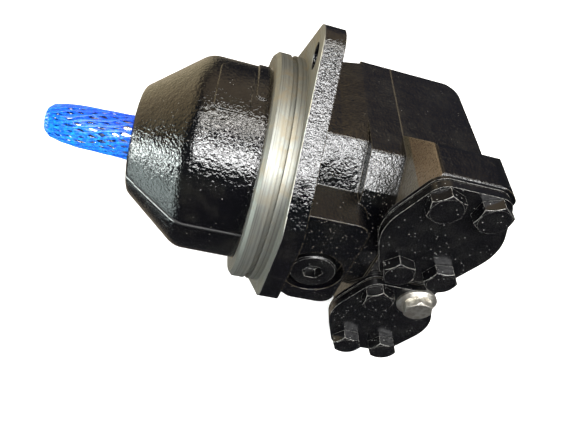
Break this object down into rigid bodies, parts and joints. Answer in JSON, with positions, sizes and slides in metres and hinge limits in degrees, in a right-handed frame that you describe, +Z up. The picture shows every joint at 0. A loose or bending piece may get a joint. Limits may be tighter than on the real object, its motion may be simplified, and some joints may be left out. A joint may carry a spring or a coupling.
{
  "type": "hydraulic motor",
  "caption": "Plug-in fixed swash-plate axial-piston hydraulic motor: bell housing, locating pilot, eared flange, splined shaft in a net sleeve, side ports under bolted covers.",
  "frame": {"origin": "centre of the pilot in the plane of the flange's mounting face", "axes": "-X along the shaft, out of its splined end; +Z up through one bolt ear; both ports open toward -Y"},
  "size_m": [0.2412, 0.1511, 0.191],
  "materials": {
    "black_paint": "gloss spray paint over rough casting; pilot and flange front left bare",
    "cover_paint": "gloss spray paint over plate",
    "bolt_paint": "painted over hex heads",
    "zinc": "dull zinc plating",
    "plug_black": "painted steel",
    "black_oxide": "black oxide",
    "ground_steel": "ground",
    "hardened_steel": "ground and hardened",
    "spring_steel": "oiled spring steel",
    "bearing_bronze": "machined bronze",
    "seal_rubber": "moulded",
    "gasket": "pressed fibre",
    "copper_washer": "pressed, dull",
    "net_plastic": "extruded polyethylene net"
  },
  "bodies": {
    "housing": {"motor_housing": "black_paint", "swash_plate": "hardened_steel", "front_bearing_cup": "ground_steel", "rear_bearing_cup": "ground_steel", "shaft_seal": "seal_rubber", "seal_retaining_ring": "black_oxide", "port_plate": "black_paint", "port_plate_gasket": "gasket", "valve_plate": "bearing_bronze", "valve_plate_pin": "ground_steel", "port_plate_screws": "black_oxide", "upper_port_cover": "cover_paint", "upper_port_gasket": "gasket", "upper_backing_plate": "cover_paint", "upper_cover_bolts": "bolt_paint", "lower_port_cover": "cover_paint", "lower_port_gasket": "gasket", "lower_backing_plate": "cover_paint", "lower_cover_bolts": "bolt_paint", "flanged_cover_bolt": "zinc", "drain_plug": "plug_black", "drain_plug_washer": "copper_washer", "far_drain_plug": "plug_black", "far_drain_plug_washer": "copper_washer"},
    "rotor": {"drive_shaft": "ground_steel", "front_bearing_cone": "ground_steel", "rear_bearing_cone": "ground_steel", "cylinder_barrel": "hardened_steel", "barrel_spring": "spring_steel", "spring_collars": "hardened_steel", "pressure_pins": "ground_steel", "guide_ball": "hardened_steel", "shaft_protection_net": "net_plastic"},
    "front_rollers": {"front_bearing_rollers": "ground_steel"},
    "rear_rollers": {"rear_bearing_rollers": "ground_steel"},
    "shoe_carrier": {"slipper_retainer": "hardened_steel", "slipper_shoes": "bearing_bronze"},
    "piston_1": {"piston_1": "ground_steel"},
    "piston_2": {"piston_2": "ground_steel"},
    "piston_3": {"piston_3": "ground_steel"},
    "piston_4": {"piston_4": "ground_steel"},
    "piston_5": {"piston_5": "ground_steel"},
    "piston_6": {"piston_6": "ground_steel"},
    "piston_7": {"piston_7": "ground_steel"},
    "piston_8": {"piston_8": "ground_steel"},
    "piston_9": {"piston_9": "ground_steel"}
  },
  "joints": [
    {"name": "shaft_spin", "type": "hinge", "parent": "housing", "child": "rotor", "pos_m": [0, 0, 0], "axis": [1, 0, 0], "continuous": true},
    {"name": "front_roller_spin", "type": "hinge", "parent": "housing", "child": "front_rollers", "pos_m": [-0.065, 0, 0], "axis": [1, 0, 0], "continuous": true},
    {"name": "rear_roller_spin", "type": "hinge", "parent": "housing", "child": "rear_rollers", "pos_m": [0.07, 0, 0], "axis": [1, 0, 0], "continuous": true},
    {"name": "shoe_carrier_spin", "type": "hinge", "parent": "housing", "child": "shoe_carrier", "pos_m": [-0.0246, 0, 0], "axis": [0.9659, -0.2588, 0], "continuous": true},
    {"name": "piston_1_turn", "type": "hinge", "parent": "shoe_carrier", "child": "piston_1", "pos_m": [-0.0246, 0, 0.03255], "axis": [0.9659, -0.2588, 0], "continuous": true},
    {"name": "piston_2_turn", "type": "hinge", "parent": "shoe_carrier", "child": "piston_2", "pos_m": [-0.03002, -0.02021, 0.02494], "axis": [0.9659, -0.2588, 0], "continuous": true},
    {"name": "piston_3_turn", "type": "hinge", "parent": "shoe_carrier", "child": "piston_3", "pos_m": [-0.0329, -0.03097, 0.00565], "axis": [0.9659, -0.2588, 0], "continuous": true},
    {"name": "piston_4_turn", "type": "hinge", "parent": "shoe_carrier", "child": "piston_4", "pos_m": [-0.0319, -0.02723, -0.01628], "axis": [0.9659, -0.2588, 0], "continuous": true},
    {"name": "piston_5_turn", "type": "hinge", "parent": "shoe_carrier", "child": "piston_5", "pos_m": [-0.02748, -0.01075, -0.03059], "axis": [0.9659, -0.2588, 0], "continuous": true},
    {"name": "piston_6_turn", "type": "hinge", "parent": "shoe_carrier", "child": "piston_6", "pos_m": [-0.02172, 0.01075, -0.03059], "axis": [0.9659, -0.2588, 0], "continuous": true},
    {"name": "piston_7_turn", "type": "hinge", "parent": "shoe_carrier", "child": "piston_7", "pos_m": [-0.0173, 0.02723, -0.01628], "axis": [0.9659, -0.2588, 0], "continuous": true},
    {"name": "piston_8_turn", "type": "hinge", "parent": "shoe_carrier", "child": "piston_8", "pos_m": [-0.0163, 0.03097, 0.00565], "axis": [0.9659, -0.2588, 0], "continuous": true},
    {"name": "piston_9_turn", "type": "hinge", "parent": "shoe_carrier", "child": "piston_9", "pos_m": [-0.01918, 0.02021, 0.02494], "axis": [0.9659, -0.2588, 0], "continuous": true}
  ],
  "couplings": [
    {"joint": "front_roller_spin", "follows": "shaft_spin", "ratio": 0.42105},
    {"joint": "rear_roller_spin", "follows": "shaft_spin", "ratio": 0.40854},
    {"joint": "shoe_carrier_spin", "follows": "shaft_spin", "ratio": 1},
    {"joint": "piston_1_turn", "follows": "shaft_spin", "ratio": -1},
    {"joint": "piston_2_turn", "follows": "shaft_spin", "ratio": -1},
    {"joint": "piston_3_turn", "follows": "shaft_spin", "ratio": -1},
    {"joint": "piston_4_turn", "follows": "shaft_spin", "ratio": -1},
    {"joint": "piston_5_turn", "follows": "shaft_spin", "ratio": -1},
    {"joint": "piston_6_turn", "follows": "shaft_spin", "ratio": -1},
    {"joint": "piston_7_turn", "follows": "shaft_spin", "ratio": -1},
    {"joint": "piston_8_turn", "follows": "shaft_spin", "ratio": -1},
    {"joint": "piston_9_turn", "follows": "shaft_spin", "ratio": -1}
  ]
}
